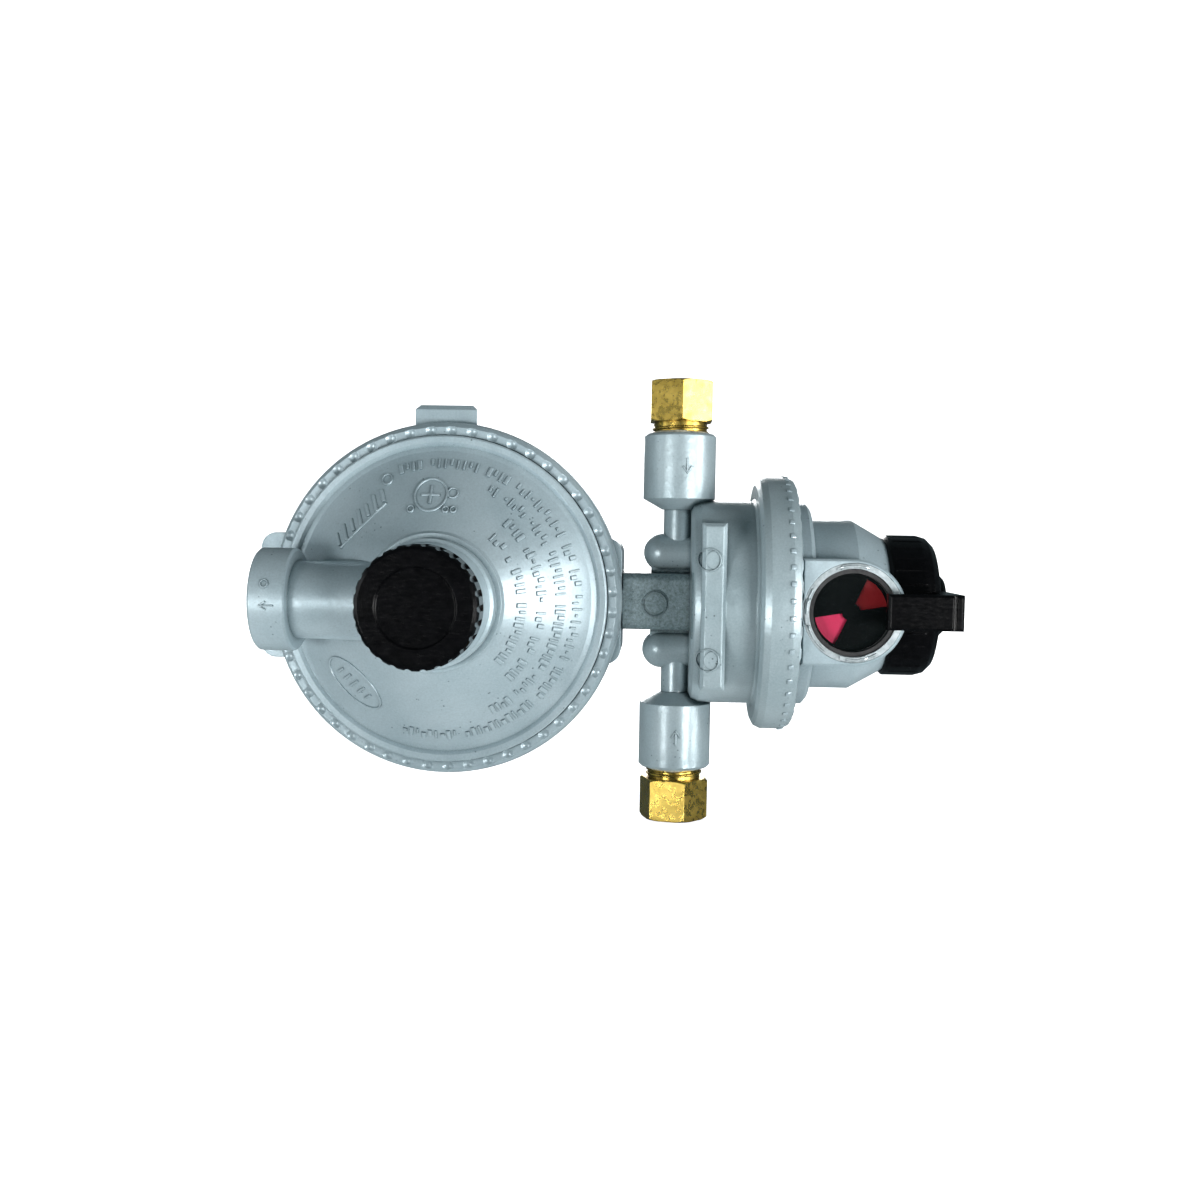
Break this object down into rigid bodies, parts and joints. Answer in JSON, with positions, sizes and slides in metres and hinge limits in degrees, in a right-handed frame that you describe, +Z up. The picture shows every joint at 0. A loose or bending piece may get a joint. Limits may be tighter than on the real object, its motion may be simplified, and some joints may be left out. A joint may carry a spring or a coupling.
{
  "type": "propane regulator",
  "caption": "Two-stage automatic changeover regulator for bottled propane: round diaphragm housing joined by a neck to a changeover valve with brass inlets, indicator window and selector knob.",
  "frame": {"origin": "midway between the two tapped mounting holes, on the rear face of their bosses", "axes": "+X from the outlet towards the selector knob, +Y out of the rear face towards the mounting bracket, +Z up towards the upper inlet"},
  "size_m": [0.1775, 0.088, 0.115],
  "materials": {
    "cast_housing": "satin paint over die-cast metal",
    "cast_neck": "satin paint over die-cast metal",
    "cast_inner": "bare casting",
    "brass_fitting": "turned brass",
    "brass_inner": "turned brass",
    "black_plastic": "glossy moulded plastic",
    "steel_small": "zinc plated",
    "spring_steel": "drawn wire",
    "seal_rubber": "moulded rubber",
    "clear_lens": "clear moulded window",
    "indicator_red": "printed disc"
  },
  "bodies": {
    "housing": {"regulator_body": "cast_housing", "test_port_plug": "brass_fitting", "regulator_bonnet": "cast_housing", "vent_screen": "steel_small", "vent_screen_ring": "steel_small", "main_spring": "spring_steel", "diaphragm": "seal_rubber", "lever_pin": "steel_small", "valve_guide": "cast_inner", "inlet_nozzle": "brass_inner", "nozzle_seal": "seal_rubber", "neck_seal": "seal_rubber", "changeover_body": "cast_neck", "inlet_fitting_top": "brass_fitting", "inlet_fitting_bottom": "brass_fitting", "inlet_filter_top": "brass_inner", "inlet_filter_bottom": "brass_inner", "inlet_seat_top": "brass_inner", "inlet_seat_bottom": "brass_inner", "inlet_spring_top": "spring_steel", "inlet_spring_bottom": "spring_steel", "changeover_diaphragm": "seal_rubber", "changeover_spring": "spring_steel", "changeover_bonnet": "cast_housing", "lens_ring": "cast_inner", "lens_seal": "seal_rubber", "indicator_lens": "clear_lens", "indicator_mask": "black_plastic"},
    "stem": {"pusher_stem": "steel_small", "relief_retainer": "steel_small", "relief_spring": "spring_steel"},
    "diaphragm_group": {"diaphragm_plate": "steel_small"},
    "lever": {"valve_lever": "steel_small"},
    "plunger": {"valve_plunger": "cast_inner", "valve_seat_disc": "seal_rubber"},
    "adjuster": {"spring_seat": "steel_small"},
    "screw": {"adjusting_screw": "cast_inner"},
    "cap_carrier": {"cap_gasket": "seal_rubber"},
    "cap": {"bonnet_cap": "black_plastic"},
    "change_group": {"changeover_plate": "steel_small", "changeover_plate_inner": "steel_small", "rocker_yoke": "steel_small", "indicator_link": "steel_small"},
    "rocker_arm": {"rocker": "steel_small"},
    "valve_top": {"inlet_valve_top": "brass_inner"},
    "valve_bottom": {"inlet_valve_bottom": "brass_inner"},
    "indicator": {"indicator_spindle": "brass_inner", "indicator_disc": "indicator_red"},
    "selector": {"selector_shaft": "steel_small", "shaft_seal": "seal_rubber", "selector_knob": "black_plastic", "selector_lever": "black_plastic", "knob_screw": "steel_small"}
  },
  "joints": [
    {"name": "stem_travel", "type": "slide", "parent": "housing", "child": "stem", "axis": [0, 1, 0], "range_m": [-0.0014, 0.0014], "stiffness_N_per_m": 1200, "deforming": ["main_spring", "diaphragm"]},
    {"name": "relief_lift", "type": "slide", "parent": "stem", "child": "diaphragm_group", "axis": [0, -1, 0], "range_m": [0, 0.002], "stiffness_N_per_m": 2500, "springref_m": -0.001, "deforming": ["relief_spring"]},
    {"name": "lever_swing", "type": "hinge", "parent": "housing", "child": "lever", "pos_m": [0.014, -0.01325, 0], "axis": [0, 0, 1], "range_deg": [-5.8, 5.8]},
    {"name": "plunger_stroke", "type": "slide", "parent": "housing", "child": "plunger", "axis": [1, 0, 0], "range_m": [-0.00041, 0.00041]},
    {"name": "adjust_travel", "type": "slide", "parent": "housing", "child": "adjuster", "axis": [0, 1, 0], "range_m": [-0.0023, 0.0023]},
    {"name": "adjust_turn", "type": "hinge", "parent": "adjuster", "child": "screw", "pos_m": [0, -0.054, 0], "axis": [0, 1, 0], "range_deg": [-540, 540]},
    {"name": "cap_lift", "type": "slide", "parent": "housing", "child": "cap_carrier", "axis": [0, -1, 0], "range_m": [0, 0.0121]},
    {"name": "cap_turn", "type": "hinge", "parent": "cap_carrier", "child": "cap", "pos_m": [0, -0.066, 0], "axis": [0, -1, 0], "range_deg": [0, 1440]},
    {"name": "changeover_travel", "type": "slide", "parent": "housing", "child": "change_group", "axis": [1, 0, 0], "range_m": [0, 0.003], "stiffness_N_per_m": 1500, "springref_m": -0.002, "deforming": ["changeover_spring", "changeover_diaphragm"]},
    {"name": "rocker_tilt", "type": "hinge", "parent": "change_group", "child": "rocker_arm", "pos_m": [0.077, -0.018, 0], "axis": [0, 1, 0], "range_deg": [-2.6, 2.6]},
    {"name": "valve_top_stroke", "type": "slide", "parent": "housing", "child": "valve_top", "axis": [1, 0, 0], "range_m": [0, 0.00076], "deforming": ["inlet_spring_top"]},
    {"name": "valve_bottom_stroke", "type": "slide", "parent": "housing", "child": "valve_bottom", "axis": [1, 0, 0], "range_m": [0, 0.00076], "deforming": ["inlet_spring_bottom"]},
    {"name": "indicator_turn", "type": "hinge", "parent": "housing", "child": "indicator", "pos_m": [0.1018, -0.036, -0.00075], "axis": [0, 1, 0], "range_deg": [-1, 91]},
    {"name": "selector_turn", "type": "hinge", "parent": "housing", "child": "selector", "pos_m": [0.118, -0.018, 0], "axis": [1, 0, 0], "range_deg": [-90, 90]}
  ],
  "couplings": [
    {"joint": "lever_swing", "follows": "stem_travel", "rad_per_m": -71.43},
    {"joint": "plunger_stroke", "follows": "stem_travel", "ratio": -0.2857},
    {"joint": "adjust_travel", "follows": "adjust_turn", "m_per_rad": 0.00023873},
    {"joint": "cap_lift", "follows": "cap_turn", "m_per_rad": 0.00047746},
    {"joint": "valve_top_stroke", "follows": "changeover_travel", "ratio": 0.25},
    {"joint": "valve_bottom_stroke", "follows": "changeover_travel", "ratio": 0.25},
    {"joint": "indicator_turn", "follows": "changeover_travel", "rad_per_m": 523.6},
    {"joint": "rocker_tilt", "follows": "selector_turn", "ratio": 0.02778}
  ]
}
